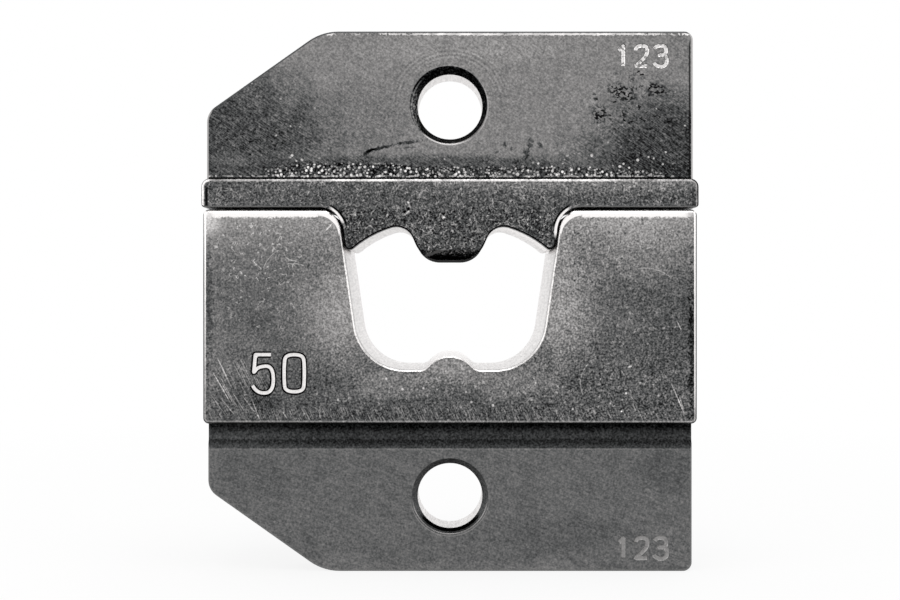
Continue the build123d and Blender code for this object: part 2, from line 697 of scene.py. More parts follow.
class NestSteel(Steel):
    """Finish of the nest die: a scuffed block, bright at its mouth, above a smooth tang.

    Attributes:
        painted_highlight_band: Height of the painted highlight along the block's top.
        relief_bottom: Lower end of the shallow relief along the tang's root.
        blackening_and_painted_light: Where the blackening is lighter or darker, with painted light at the
            top and by the nest.
        margins: Darker strips with ragged edges along the block's sides.
        cuts: Textures of fine cuts, each with the patches where they show.
        specks: Where dark specks are strewn.
        lines: The plainest straight scratches and nicks.
        hairs: The plainest bent hairlines.
    """

    block_tone: float = 0.355
    tang_tone: float = 0.39
    block_bottom: float = 6.0
    block_top: float = 22.8
    block_front: float = -4.3
    painted_highlight_band: float = 0.62
    nest_floor: float = 10.2
    nest_half_width: float = 9.2
    relief_bottom: float = 3.85
    blackening_and_painted_light: tuple[Patch, ...] = (
        Patch(0, 27, 80, 12, 0.28, 0.2, 0, 0.15),
        Patch(14.5, 21.6, 4.5, 1.6, 0.06, 0.2),
        Patch(15, 19, 3.5, 2.5, 0.03, 0.5),
        Patch(-15.5, 15.5, 4.5, 5, 0.035, 0.5),
        Patch(0, 10.6, 2.7, 1, 0.19, 0.3),
        Patch(0, 9.7, 5.2, 0.7, 0.06, 0.3),
        Patch(-8.6, 9.2, 2.8, 1.6, -0.06, 0.2),
        Patch(9.8, 9.3, 2, 1, -0.07, 0.2),
        Patch(-14.7, 7.8, 1.6, 0.8, -0.07, 0.2),
        Patch(-8.6, 14.6, 5.4, 6.2, 0.24, 0),
        Patch(8.6, 15, 4.9, 6.2, 0.23, 0),
        Patch(-5, 9.2, 6.5, 2.2, 0.1),
        Patch(5, 9.4, 6, 2.4, 0.11),
        Patch(-19.6, 11.5, 3, 11, 0.07),
        Patch(-18.9, 22, 1.6, 2, 0.22),
        Patch(-13, 19.5, 6, 3, -0.02, 0.4),
        Patch(-16.4, 11.4, 3.6, 2.8, 0.03),
        Patch(-16, 7.6, 4.6, 2.4, -0.035, 0.4),
        Patch(-15.3, 14, 1.2, 1.6, -0.045, 0.3),
        Patch(17.5, 13, 3.4, 5.4, -0.02),
        Patch(0, 6.2, 24, 2.6, -0.07),
        Patch(15.5, 7.8, 5, 1.6, -0.03),
        Patch(13.5, 14, 2.5, 2, 0.03),
        Patch(-16, 1.6, 4, 2.4, -0.025),
        Patch(9, -3, 8, 2.4, -0.03, 0.4),
        Patch(17.5, 2.4, 3.6, 3, -0.05),
        Patch(8.3, -6.6, 2.1, 2.1, 0.035, 0.9, 0, 0.05),
        Patch(-8.4, -6.6, 2.3, 2.3, 0.03, 0.9, 0, 0.05),
        Patch(0, -7, 22, 2.2, 0.03),
    )
    margins: tuple[Patch, ...] = (
        Patch(18.88, 12.5, 0.34, 7, -0.17, 0.3, 0, 2),
        Patch(-18.85, 15, 0.4, 6, -0.1, 0.3, 0, 2),
    )
    cuts: tuple[tuple[Union[Scratches, Scribbles, Granules], tuple[Patch, ...]], ...] = (
        (Scratches(63, 2.6, 0.05, 0.64, 4), (Patch(-16.2, 8.6, 3.2, 3.4, 1.1, 0.3),)),
        (Scratches(66, 0.8, 0.05, 0.7, 2), (Patch(0, 6.7, 24, 1, 1.1, 0.5),)),
        (
            Scribbles(2.2, 0.055, 30, 0.06),
            (
                Patch(-15, 19.6, 5.8, 3.6, 1.5, 0.4),
                Patch(-14.6, 15.4, 5.4, 4, 1.1, 0.4),
                Patch(9, 19, 12, 4, 0.7, 0.5),
                Patch(2, 8, 18, 2.8, 1, 0.6),
                Patch(14.5, 11.5, 5, 6, 1, 0.5),
            ),
        ),
        (
            Granules(2.4, 0.2, 0.1, 50),
            (
                Patch(-16.4, 20.4, 3, 2.4, 1.6, 0.4),
                Patch(2, 8, 18, 2.8, 1.6, 0.6),
                Patch(14.5, 11.5, 5, 6, 1.2, 0.5),
            ),
        ),
    )
    specks: tuple[Patch, ...] = (
        Patch(13, 19.5, 7, 4.5, 0.14, 0.5),
        Patch(11, 10, 8, 4.5, 0.1, 0.5),
        Patch(-8, 8.5, 9, 3, 0.08, 0.5),
    )
    lines: tuple[Line, ...] = (
        Line(-17.6, 10, 1.7, 0.05, 1.3, lean=64),
        Line(-17.8, 8.8, 1.7, 0.06, 1.6, lean=60),
        Line(-17.45, 8.5, 1.2, 0.05, 1.2, lean=61),
        Line(-15.6, 7.4, 1.5, 0.05, 1.1, lean=53),
        Line(-15.2, 7.2, 1.1, 0.05, 1.5, lean=69),
        Line(-18.1, 7.5, 1.3, 0.05, 0.9, lean=54),
        Line(-17.3, 7.3, 1.4, 0.05, 0.9, lean=51),
        Line(-16.5, 7.7, 1.2, 0.05, 1, lean=58),
        Line(-12.9, 6.7, 0.4, 0.05, 1.2, lean=58),
        Line(-12.4, 6.8, 0.4, 0.05, 1, lean=62),
        Line(-11.1, 6.6, 0.4, 0.05, 1.2, lean=64),
        Line(17.8, 8, 1.65, 0.055, 1.6, lean=67),
        Line(18.1, 7.6, 0.8, 0.05, 1.1, lean=72),
        Line(17.9, 13.7, 0.45, 0.07, 1.6, lean=63),
        Line(13.5, 10, 0.3, 0.06, 1.4, lean=60),
        Line(14.06, 10.5, 0.2, 0.1, 1.6, lean=-25),
        Line(14.4, 7.3, 0.4, 0.05, 1.1, lean=66),
        Line(14.9, 6.65, 0.3, 0.05, 1.2, lean=62),
        Line(16.2, 6.6, 0.35, 0.05, 1, lean=66),
        Line(13.4, 7, 0.09, 0.09, 2.6),
        Line(-9.45, 21.4, 0.6, 0.07, 1.2, lean=-48),
    )
    hairs: tuple[Arc, ...] = (
        Arc(-12.2, 17.4, 2.5, -2.7, -1.5, 0.9, 2.2),
        Arc(-12.25, 19.5, 0.72, -0.8, 0.1, -0.8, -0.1, 0.06),
        Arc(-12.3, 16.2, 2.35, -0.3, 0.7, 2.1, 2.4),
        Arc(8.2, 22.6, 2.4, -1.4, 0.9, -2.5, -1.8),
        Arc(15.2, 15, 3.2, -0.6, 1.9, 2.5, 3.3),
        Arc(12.4, 9.2, 2.2, -2.3, -1.1, -0.9, 1.9),
    )

    def __init__(self) -> None:
        """Start the material and mark off the block."""
        super().__init__(Slot.NEST.value)
        self.block = self.z.rise(self.block_bottom - 0.02, self.block_bottom)
        self.nest = self.within(self.nest_half_width)

    def make(self) -> bpy.types.Material:
        """Make the finish.

        Returns:
            The material.
        """
        low = self.z.rise(13.5, 9.0) * self.block
        self.tone = self.block * (self.block_tone - self.tang_tone) + self.tang_tone
        # painted light among these patches: the block lighter towards its top and beside the nest's walls
        self.tone = self.tone + self.laid(self.blackening_and_painted_light) + self.clouds * self.cloudiness
        self.tone += self.laid(self.margins, self.flecks) * self.block
        right = self.x.rise(3.0, 10.0)
        middle = self.x.band(-9.0, 9.0, 5.0) * self.z.rise(9.0, 12.0)
        coarse = self.block * (0.15 + right * 0.13 + middle * 0.12) + low * 0.13 + 0.24
        self.tone += self.grit * coarse
        self.tone -= Granules(3.0, 0.22, 0.4, 90.0).over(self) * self.laid(self.specks)

        marks = Scribbles(0.9, 0.012, 1.0).over(self)
        marks = (marks | Scribbles(1.7, 0.022, 8.0).over(self)) * 0.5
        for texture, where in self.cuts:
            marks |= texture.over(self) * self.laid(where)
        lone = self.laid(self.lines)
        for hair in self.hairs:
            lone |= hair.over(self) * 0.75 * self.front
        marks = (marks | lone * (self.flecks * 1.8 + 1.25)) * self.block
        brushing = Scratches(18, 1.3, 0.09, 0.9, 3.0).over(self)
        self.tone = self.tone + marks * 0.2 + brushing * (1 - self.block) * 0.03
        self.shade_root()
        self.brighten_nest()
        self.paint_edge_highlights()
        self.line_hole()
        return self.finish(self.rough(), self.height(marks))

    def shade_root(self) -> None:
        """Paint shade into the relief along the tang's root, and a faint painted highlight below it."""
        root = self.z.band(self.relief_bottom, self.block_bottom, 0.03) * self.front * (1 - self.block)
        wavy = self.z + self.flecks * 0.3 + self.clouds * 0.2
        # painted shade: darkest under the block, darker at the step, lighter down the slope; painted light
        # towards the left-hand end
        under_block = wavy.rise(4.9, 5.7)
        step = wavy.rise(4.58, 4.48)
        slope = wavy.rise(4.4, self.relief_bottom)
        left_end = self.x.rise(-9.0, -16.5)
        shade = 0.235 - under_block * 0.15 - step * 0.065 + slope * 0.1 + left_end * 0.04
        shade += self.grit * 0.3
        self.paint(shade, root)
        # painted highlight: a faint light line along the relief's lower edge
        lip = self.z.band(self.relief_bottom - 0.12, self.relief_bottom - 0.04, 0.03) * self.front
        self.tone += lip * 0.04

    def brighten_nest(self) -> None:
        """Polish the nest's walls and the hole's, and paint the wall above the bump's crest near white."""
        inside = self.nest * self.z.band(self.nest_floor - 0.3, self.block_top - 0.9, 0.1)
        walls = self.side_on * ((inside * self.block) | self.bore_wall())
        # a darker band on the walls just behind the front edge
        hairline = self.y.band(self.block_front + 0.4, self.block_front + 1.3, 0.2)
        hairline *= self.flecks * 1.2 + 0.35
        polished = self.polished() - hairline * 0.5 * inside
        # painted reflection: the wall above the bump's crest brought near white
        crest = self.within(1.3, 1.4) * self.z.band(self.nest_floor + 0.6, self.nest_floor + 1.8, 0.3)
        self.paint(polished.toward(1.0, crest), walls)

    def paint_edge_highlights(self) -> None:
        """Paint highlights on the edges, brightest towards the top, and outline the block's sides in
        painted shade.
        """
        centre_x, centre_z = self.mouth_centre
        top = self.z.rise(self.block_top - 0.5, self.block_top - 0.2)
        # painted light: the side edges' highlights fade towards the bottom, and differ on the right
        right_line = self.z.rise(5.6, 9.0) * 0.42 + 0.4
        fading = (self.z.rise(4.0, 21.0) * 0.62 + 0.28).toward(right_line, self.x.rise(18.0, 19.0))
        side_line = self.facing.band(0.76, 0.93, 0.03) * fading
        rounded = side_line.toward(self.rim(0.3, 0.9), top)
        # painted highlight: a ragged bright band along the block's top
        start = self.block_top - self.painted_highlight_band
        ragged = self.z + self.flecks * 0.3 + self.dust * 0.2
        level = ragged.rise(start - 0.12, start + 0.07)
        level *= self.within(18.2, 0.8) * 0.6 + 0.4
        # painted highlight round the mouth's rounded corners
        inward = self.within(centre_x - 0.1) * self.z.rise(centre_z - 0.3, centre_z)
        taper = self.z.rise(centre_z - 0.3, self.block_top) * 0.4
        reach = self.away_from(centre_x, centre_z, paired=True) + taper
        lip = reach.rise(self.mouth_radius - 0.2, self.mouth_radius - 0.12) * inward
        # painted highlight along the nest's front edges
        in_nest = self.nest * self.z.rise(self.nest_floor - 0.6, self.nest_floor - 0.4)
        nest_edge = self.rim() * in_nest * (0.95 + self.grit * 0.9)
        bright = ((rounded | nest_edge) * self.block) | (((level * (1 - inward)) | lip) * self.front)
        self.paint(1.0, bright)
        # painted shade: a dark outline round the block's sides, left off the upper left corner where its
        # highlight shows
        outside = (1 - in_nest) * (1 - top) * self.block
        outline = self.facing.rise(0.76, 0.7) * self.facing.rise(0.0, 0.05) * outside
        highlit_corner = self.x.rise(-18.0, -19.0) * self.z.rise(17.5, 20.0)
        self.paint(self.darkest, outline * (1 - highlit_corner))
        self.paint(0.45, self.rim() * (1 - self.block) * 0.6)

    def line_hole(self) -> None:
        """Paint shade into the hole's chamfer, and two fine painted highlights round its lower half."""
        distance = self.from_hole
        lower = self.z.rise(0.2, -1.4)
        chamfer = self.chamfer()
        inner = distance.rise(self.bore + 0.28, self.bore + 0.2) * self.z.rise(-1.3, -2.0)
        # painted shade in the chamfer, darker low inside it
        shade = 0.24 + abs(self.x) * 0.03 + self.flecks * 0.3 - inner * 0.3
        self.paint(shade, chamfer)
        # painted highlights: two fine light lines round the hole's lower half
        line = distance.band(self.hole_rim - 0.07, self.hole_rim - 0.02, 0.02) * chamfer
        outer_line = distance.band(self.hole_rim + 0.1, self.hole_rim + 0.14, 0.02) * self.front
        self.paint(0.6, (line | outer_line * 0.6) * lower)


class AnvilSteel(Steel):
    """Finish of the anvil die: a mottled tang above a dark, scuffed shoulder and anvil.

    Attributes:
        shoulder_corner: Middle of the round of its bright edge's right-hand top corner.
        corner_radius: Radius of that round out to the shoulder's edge.
        stains_and_shade: Where the tang is stained lighter or darker, with painted shade along its root.
        smears: Dark smears on the tang, and a scrape and a nick on the anvil.
        sheens: Where the shoulder is brighter.
        pitted: Textures of black pits, each with the patch where they show.
        dense_grains: Where bright grit, painted as glints, lies thick along the tang's root.
        stray_grains: Where single bright grains are strewn.
        ring_centre: Middle of the ring of painted shade round the hole.
        ring_radius: Radius of that ring.
    """

    tang_tone: float = 0.5
    shoulder_tone: float = 0.325
    anvil_tone: float = 0.275
    gap_top: float = 22.95
    shoulder_top: float = 25.2
    shoulder_corner: Point = (18.8, 24.55)
    corner_radius: float = 0.65
    tang_top: float = 37.2
    half_width: float = 19.45
    tooth_bevel_top: float = 19.62
    tooth_half_width: float = 2.9
    lobes_top: float = 22.1
    lobes_half_width: float = 8.1
    hole: Point = (0.0, 31.2)
    # stains, and painted shade: the low patches near 26.4 mm darken the tang's root above the shoulder
    stains_and_shade: tuple[Patch, ...] = (
        Patch(-17.5, 27.3, 10.5, 9.8, -0.24, 0.33, 0, 0.35),
        Patch(17.8, 27.2, 8.6, 7.2, -0.275, 0.27, 0, 0.35),
        Patch(13, 26.4, 9.5, 1.7, -0.06, 0.35, 0, 0.5),
        Patch(-15, 27, 5.5, 0.9, 0.05),
        Patch(18.4, 35.6, 1.3, 2.2, -0.04, 0.3),
        Patch(5.5, 35.8, 5, 1.6, 0.035, 0.3),
        Patch(-1, 26.38, 15, 1.26, -0.18, 0.45, 0, 0.3),
        Patch(9.9, 28.2, 3.2, 2.2, -0.045, 0.3),
        Patch(16.8, 27, 2.6, 0.9, 0.055),
        Patch(-17.6, 26.9, 2.2, 1, 0.06),
        Patch(-7.5, 30, 6, 4.2, -0.06, 0.3),
        Patch(-1, 35.8, 9, 2.2, 0.03),
    )
    smears: tuple[Patch, ...] = (
        Patch(-5.6, 27.85, 1.5, 0.2, -0.3, 0.3, -13, 1.6),
        Patch(-3.4, 28.3, 1.5, 0.16, -0.26, 0.3, -7, 1.8),
        Patch(-6.6, 27.5, 0.8, 0.16, -0.26, 0.3, -24, 1.6),
        Patch(-3.3, 27.9, 1, 0.1, -0.16, 0.2, -4, 1.8),
        Patch(4.4, 28.1, 0.25, 0.3, -0.24, 0.2, 0, 1.2),
        Patch(3.7, 27.5, 0.3, 0.14, -0.2, 0.2, -20, 1.2),
        Patch(4.9, 27.8, 0.16, 0.25, -0.2, 0.2, 0, 1.2),
        Patch(6.4, 28.2, 0.4, 0.5, -0.22, 0.2, 0, 1.8),
        Patch(6.1, 27.4, 0.35, 0.7, -0.22, 0.2, 12, 1.8),
        Patch(5.4, 26.9, 0.3, 0.3, -0.2, 0.2, 0, 1.6),
        Patch(7.2, 28.1, 0.25, 0.3, -0.2, 0.2, 0, 1.6),
        Patch(-3.41, 22.48, 0.55, 0.1, 0.34, 0.5, -35, 0),
        Patch(-3.2, 23.15, 0.45, 0.1, 0.26, 0.5, 64, 0),
        Patch(-3.24, 22.8, 0.2, 0.16, -0.34, 0.4, -35, 0),
        Patch(-3.55, 22.6, 0.2, 0.12, -0.3, 0.4, -35, 0),
        Patch(-0.49, 22.16, 0.15, 0.13, 0.5, 0.4, 0, 0),
        Patch(-0.49, 22.42, 0.16, 0.1, -0.25, 0.4, 0, 0),
        Patch(0.31, 21.58, 0.34, 0.1, 0.28, 0.5, 0, 0),
    )
    sheens: tuple[Patch, ...] = (
        Patch(9, 25.3, 21, 1.7, 0.13, 0.25),
        Patch(-13, 25, 9, 1.3, 0.03, 0.25),
    )
    pitted: tuple[tuple[Spots, Patch], ...] = (
        (Spots(4.4, -0.02, 21, 1.4), Patch(13.7, 32.3, 1.7, 0.8, 1.5, 0.2, 22, 0.6)),
        (Spots(4.4, -0.02, 24, 1.2), Patch(16.5, 32.5, 1.2, 0.75, 1.4, 0.2, 15, 0.6)),
        (Spots(4.2, 0, 27, 1.2), Patch(12, 30.5, 0.9, 1, 1.3, 0.2, 0, 0.6)),
        (Spots(4.4, 0.04, 31, 1.2), Patch(15.2, 33.8, 0.8, 0.5, 1.2, 0.2, 0, 0.6)),
        (Spots(4, 0.11, 37, 1.4), Patch(14.6, 31, 4.6, 3.4, 1, 0.4, 15, 0.6)),
        (Spots(4.4, 0.14, 41, 1.2), Patch(-15.6, 29, 4, 3.6, 1.2, 0.4, 0, 0.6)),
    )
    dense_grains: tuple[Patch, ...] = (
        Patch(-8.2, 25.8, 7.6, 1, 1, 0.8, 0, 0.5),
        Patch(2.5, 25.7, 16.5, 0.75, 0.85, 0.8, 0, 0.5),
    )
    stray_grains: tuple[Patch, ...] = (
        Patch(-12.9, 26.9, 1.7, 0.8, 1, 0.4, 0, 0.6),
        Patch(9.5, 26.3, 5, 1.1, 1, 0.6, -6, 0.8),
        Patch(15.2, 26.6, 3.6, 1.1, 0.8, 0.5, 0, 0.8),
        Patch(0, 25.6, 19, 0.4, 0.8, 0.8, 0, 0.4),
    )
    ring_centre: Point = (-0.12, 31.32)
    ring_radius: float = 3.1

    def __init__(self) -> None:
        """Start the material, and mark off the tang and the tooth's bevelled end."""
        super().__init__(Slot.ANVIL.value)
        self.tang = self.z.rise(self.shoulder_top, self.shoulder_top + 0.02)
        self.below = 1 - self.tang
        self.tooth = self.z.rise(self.tooth_bevel_top + 0.02, self.tooth_bevel_top)
        self.tooth *= self.within(self.tooth_half_width)

    def make(self) -> bpy.types.Material:
        """Make the finish.

        Returns:
            The material.
        """
        shoulder = self.z.rise(self.gap_top - 0.5, self.gap_top + 0.2)
        body = shoulder * (self.shoulder_tone - self.anvil_tone) + self.anvil_tone
        # stains on the tang, with painted shade along its root
        stain_and_shade = self.laid(self.stains_and_shade) * self.tang
        self.tone = body.toward(self.tang_tone, self.tang) + stain_and_shade + self.laid(self.sheens) * self.below
        self.tone += self.laid(self.smears, self.flecks)
        coarse = self.below * 0.28 + (1 - shoulder) * 0.14 + abs(stain_and_shade) * 0.65 + 0.3
        self.tone = self.tone + self.clouds * self.cloudiness + self.grit * coarse

        marks = Scribbles(0.9, 0.016, 1.0).over(self)
        for scribbles in (Scribbles(1.6, 0.026, 8.0), Scribbles(2.4, 0.035, 14.0)):
            marks |= scribbles.over(self)
        marks *= self.below
        self.tone += marks * (0.25 + (1 - shoulder) * 0.1)
        brushing = Scratches(34, 1.1, 0.06, 0.95, 3.0).over(self)
        self.tone += brushing * self.tang * (abs(stain_and_shade) * 0.35 + 0.03)
        pits = self.clouds * 0.0
        for spots, where in self.pitted:
            pits |= spots.over(self) * where.over(self, self.clouds)
        self.paint(0.1 + self.grit * 0.3, pits * self.front * 0.85)
        glints = Granules(2.6, 0.17, 0.1, 47.0).over(self) * abs(stain_and_shade) * self.front
        self.tone += glints * 1.5
        self.paint_root_grit_and_shade()
        self.brighten_lobes()
        self.paint_shoulder_highlight()
        self.shade_anvil()
        self.paint_tang_rings_and_highlights()
        self.line_hole()
        tooth_end = (self.upward.rise(-0.5, -0.7) | self.rim()) * self.tooth
        return self.finish(self.rough().toward(1.0, tooth_end), self.height(marks))

    def paint_root_grit_and_shade(self) -> None:
        """Strew grit along the tang's root, painted bright as glints, above a black line of painted shade.
        """
        dense = self.laid(self.dense_grains, self.flecks)
        dense = dense.maths("MINIMUM", dense, 1.0)
        strewn = self.laid(self.stray_grains)
        front_tang = self.front * self.tang
        self.paint(0.22 + self.grit * 0.8, dense * front_tang * 0.9)
        grains = Granules(3.3, 0.25, 0.75, 60.0).over(self) * dense
        grains |= Granules(4.2, 0.26, 0.7, 65.0).over(self) * dense * 0.65
        grains |= Granules(2.6, 0.22, 0.5, 70.0).over(self) * strewn
        root = self.shoulder_top + 0.4
        lowest = self.z.band(root - 0.04, root + 0.04, 0.04) * Spots(3.6, 0.0, 80.0, 1.3).over(self)
        # painted glints: the grains are brought near white
        bright = 0.92 + self.clouds + self.flecks * 0.7
        self.paint(bright, (grains | lowest * 0.6) * front_tang)
        # painted shade: a black line where the shoulder overhangs the tang's root
        root_shade = self.z.rise(self.shoulder_top + 0.33, self.shoulder_top + 0.28)
        self.paint(self.darkest, root_shade * front_tang)

    def brighten_lobes(self) -> None:
        """Polish the lobes' and the hole's walls, with painted light and painted shade on the lobes."""
        lobes = self.z.rise(self.lobes_top + 0.1, self.lobes_top)
        lobes = lobes * self.within(self.lobes_half_width) * self.below
        # painted light on the right-hand walls, towards the front
        lit = self.x.rise(0.0, 4.0) * self.y.rise(1.0, -2.0) * lobes
        self.paint(self.polished() + lit * 0.1, self.side_on * (lobes | self.bore_wall()))
        # painted shade: black on the walls' front strip and under the tooth
        self.paint(0.0, self.side_on * lobes * self.y.rise(-3.3, -3.6))
        self.paint(0.0, self.side_on * self.tooth * self.upward.rise(-0.3, -0.6))

    def paint_shoulder_highlight(self) -> None:
        """Paint a highlight along the shoulder's edge inside a black outline of painted shade."""
        corner_x, corner_z = self.shoulder_corner
        folded = self.vector("ABSOLUTE", self.place)
        past = self.vector("SUBTRACT", folded, (corner_x, 0, corner_z))
        past = self.vector("MULTIPLY", past, (1, 0, 1))
        reach = self.vector("LENGTH", self.vector("MAXIMUM", past, (0, 0, 0)))
        reach += self.dust * 0.08
        above_gap = self.z.rise(self.gap_top + 0.08, self.gap_top + 0.14) * self.below
        outline = self.corner_radius - 0.1
        right = self.x.rise(self.half_width - 0.6, self.half_width - 0.4)
        # painted highlight along the shoulder's top and side edges, brighter in the middle
        bright = reach.rise(outline - 0.16, outline - 0.1) * (1 - right * 0.1)
        shine = 0.72 + (self.x.band(-8.5, 12.0, 2.0) | self.x.rise(-18.7, -18.9)) * 0.24
        shine = shine + self.flecks * 0.8 + self.clouds * 0.6
        self.paint(shine, bright * above_gap * self.front)
        # painted highlight: a grey rim along the shoulder's foot
        foot = self.z.band(self.gap_top, self.gap_top + 0.16, 0.02) * self.below
        self.paint(0.42, foot * self.facing.band(0.2, 0.95, 0.03))
        # painted shade: dark lines inside the shoulder's sides and round its outer edge
        side_line = abs(self.x).band(self.half_width - 0.5, self.half_width - 0.35, 0.05)
        side_line *= self.z.rise(corner_z + 0.15, corner_z - 0.15)
        self.paint(0.06, side_line * above_gap * self.front * (0.85 - right * 0.5))
        edge = (reach + right * 0.06).rise(outline + 0.02, outline + 0.05) * above_gap
        self.paint(0.03, edge * self.facing.rise(0.05, 0.1))

    def shade_anvil(self) -> None:
        """Paint shade round the anvil, on the tooth's bevel and in the gap at the mouth, and a highlight
        beside it.
        """
        bevel = self.tooth * self.rim()
        under_gap = self.z.rise(self.gap_top - 0.1, self.gap_top - 0.3)
        # painted shade: a black outline round the anvil
        outline = self.facing.rise(0.03, 0.08) * self.facing.rise(0.99, 0.96)
        self.paint(self.darkest, outline * under_gap * (1 - bevel))
        # painted shade: the tooth's bevel, black at its foot, and reaching a little above it
        faded = (self.z + self.flecks * 0.8 + abs(self.x) * 0.06).rise(19.1, 19.5)
        ground = faded * (0.3 + self.grit * 1.4) * self.within(1.6, 1.0)
        self.paint(ground, bevel)
        shade_above_bevel = (self.z + self.grit * 0.5).rise(19.85, 19.65) * self.within(2.2, 0.6)
        self.paint(0.2, shade_above_bevel * (1 - self.tooth) * self.front * 0.7)
        crest = self.z - self.x * 0.32 + self.flecks * 0.1
        light = crest.band(19.7, 19.86, 0.05) * self.x.band(-2.0, -0.5, 0.3) * self.below
        self.paint(0.5, light * self.facing.rise(0.5, 0.7) * 0.9)
        # painted shadow in the gap at the mouth, beside a painted highlight on a sliver of the anvil's edge
        reach = self.away_from(*self.mouth_centre, paired=True) - self.mouth_radius
        beside = self.within(9.1, 0.5) * self.below
        lowest = self.z.rise(21.4, 22.0) | self.x.rise(7.0, 8.0) * self.z.rise(20.2, 21.0)
        self.paint(0.03, reach.band(0.48, 0.56, 0.04) * beside * self.z.rise(21.2, 21.8))
        sliver = reach.band(0.22, 0.4, 0.04) * self.facing.rise(0.3, 0.5)
        self.paint(0.97, sliver * beside * lowest)

    def paint_tang_rings_and_highlights(self) -> None:
        """Turn faint rings into the tang, and paint highlights and shade on its edges."""
        distance = self.from_hole
        phase = distance * 19.6 + self.clouds * 3.0
        near = distance.band(self.hole_rim + 0.9, self.hole_rim + 1.6, 0.4) * self.front
        turned = self.z.rise(self.hole[1] - 1.0, self.hole[1] + 2.0) * 0.03 + 0.01
        self.tone += phase.maths("SINE") * near * turned
        left = self.x.rise(-self.half_width + 0.5, -self.half_width + 0.3)
        right = self.x.rise(self.half_width - 0.5, self.half_width - 0.3)
        # painted light and shade on the tang's edges: grey chamfers, light sides, a dark line inside each
        # side, light dashes along the top
        edges = self.rim() * self.tang * distance.rise(self.hole_rim + 0.1, self.hole_rim + 0.3)
        self.paint(0.3, edges)
        self.paint(0.72, edges * (left * 0.8 | right))
        inner_line = self.x.band(self.half_width - 0.34, self.half_width - 0.27, 0.03) * self.front
        below_corner = self.z.rise(self.tang_top - 0.6, self.tang_top - 1.2)
        self.paint(0.08, inner_line * self.tang * below_corner * 0.75)
        spread = self.x.band(-1.0, 13.0, 9.0) * 0.16 + self.flecks * 0.7 + self.clouds * 0.5
        dashes = spread.rise(0.0, 0.06) * self.x.rise(-10.5, -9.5)
        height = self.z + self.dust * 0.2
        top = height.band(self.tang_top - 0.31, self.tang_top - 0.17, 0.03) * self.front
        self.paint(0.9 + self.clouds, top * dashes * self.flat)

    def line_hole(self) -> None:
        """Paint shade into the hole's chamfer inside a fine painted highlight."""
        centre_z = self.hole[1]
        distance = self.from_hole
        chamfer = self.chamfer()
        ring = self.away_from(*self.ring_centre).rise(self.ring_radius + 0.03, self.ring_radius - 0.03)
        ring = ring * distance.rise(self.bore + 0.01, self.bore + 0.02) * self.facing.rise(0.3, 0.4)
        # painted shade in the chamfer and on a ring round it, lighter at the left
        left = self.x.rise(-2.2, -2.8) * self.z.band(centre_z - 2.2, centre_z + 0.8, 0.8)
        shade = 0.07 + left * 0.22 + self.grit * (left * 0.4 + 0.5)
        self.paint(0.55, chamfer)
        self.paint(shade, ring * (chamfer | self.front))
        # painted highlight: a fine light line round the hole's bottom and sides
        bottom = self.z.rise(centre_z - 1.6, centre_z - 2.6) * self.x.rise(2.4, 0.2)
        sides = abs(self.x).rise(1.8, 2.6)
        line = distance.band(self.hole_rim - 0.03, self.hole_rim + 0.05, 0.03) * self.facing.rise(0.4, 0.6)
        self.paint(0.9, line * (bottom * 0.9 | sides * 0.35))


@dataclass(frozen=True)
class GrooveFinish:
    """Finish of an engraved number: bare steel that shows through the blackening.

    Attributes:
        name: The material's name.
        tone: Its tone.
        breaks: How far dark spots break it up, from 0 to 1.
        steepest: How squarely a place in the groove must face the front, or else it is painted black as
            shade.
        spot_tone: Tone of the dark spots.
        wall_tone: Tone of the steepest places, painted shade in the groove's walls.
        roughness: Its roughness.
    """

    name: str
    tone: float
    breaks: float
    steepest: float
    spot_tone: float = 0.4
    wall_tone: float = 0.05
    roughness: float = 0.35

    def make(self) -> bpy.types.Material:
        """Make the finish.

        Returns:
            The material.
        """
        steel = Steel(self.name)
        steel.tone = steel.dust * 0.2 + self.tone
        steel.paint(self.spot_tone, steel.flecks.rise(0.02, 0.12) * self.breaks)
        # painted shade: the groove's steep walls black
        steel.paint(self.wall_tone, steel.facing.rise(self.steepest, self.steepest - 0.03))
        return steel.finish(self.roughness + steel.dust * 0.2, steel.dust * 0.003)


